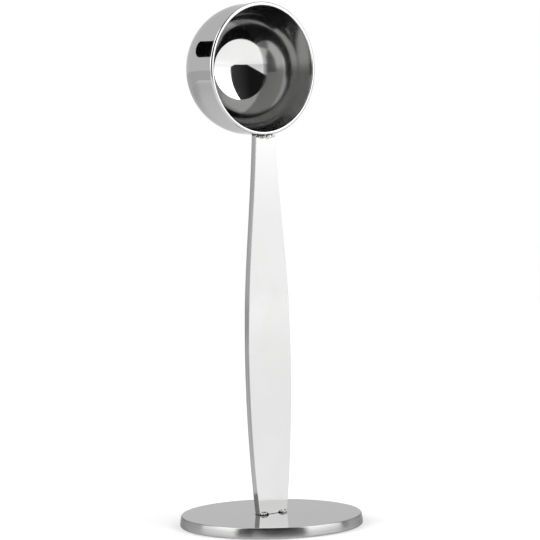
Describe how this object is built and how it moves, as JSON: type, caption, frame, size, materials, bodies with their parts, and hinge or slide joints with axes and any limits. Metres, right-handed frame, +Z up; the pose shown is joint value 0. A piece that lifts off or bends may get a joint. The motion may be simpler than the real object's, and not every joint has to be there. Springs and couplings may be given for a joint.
{
  "type": "coffee scoop with tamper",
  "caption": "Steel coffee scoop: a round drawn cup welded to the top of a flat waisted bar handle, which stands on a round flat disc used as a tamper and a foot.",
  "frame": {"origin": "centre of the tamper disc's underside", "axes": "+Z up along the handle, -Y out of the cup's mouth and square to the handle's front face, +X to the right seen from the front"},
  "size_m": [0.05, 0.05, 0.1419],
  "materials": {
    "polished_steel": "mirror-polished stainless steel, with fine hairline scratches and a brushed rim on the disc",
    "weld_metal": "unpolished weld metal, rippled and heat-darkened"
  },
  "bodies": {
    "root": {"tamper_disc": "polished_steel", "handle_bar": "polished_steel", "scoop_cup": "polished_steel", "cup_weld_front": "weld_metal", "cup_weld_rear": "weld_metal", "foot_tack_front_left": "weld_metal", "foot_tack_front_right": "weld_metal", "foot_tack_rear_left": "weld_metal", "foot_tack_rear_right": "weld_metal"}
  },
  "joints": []
}
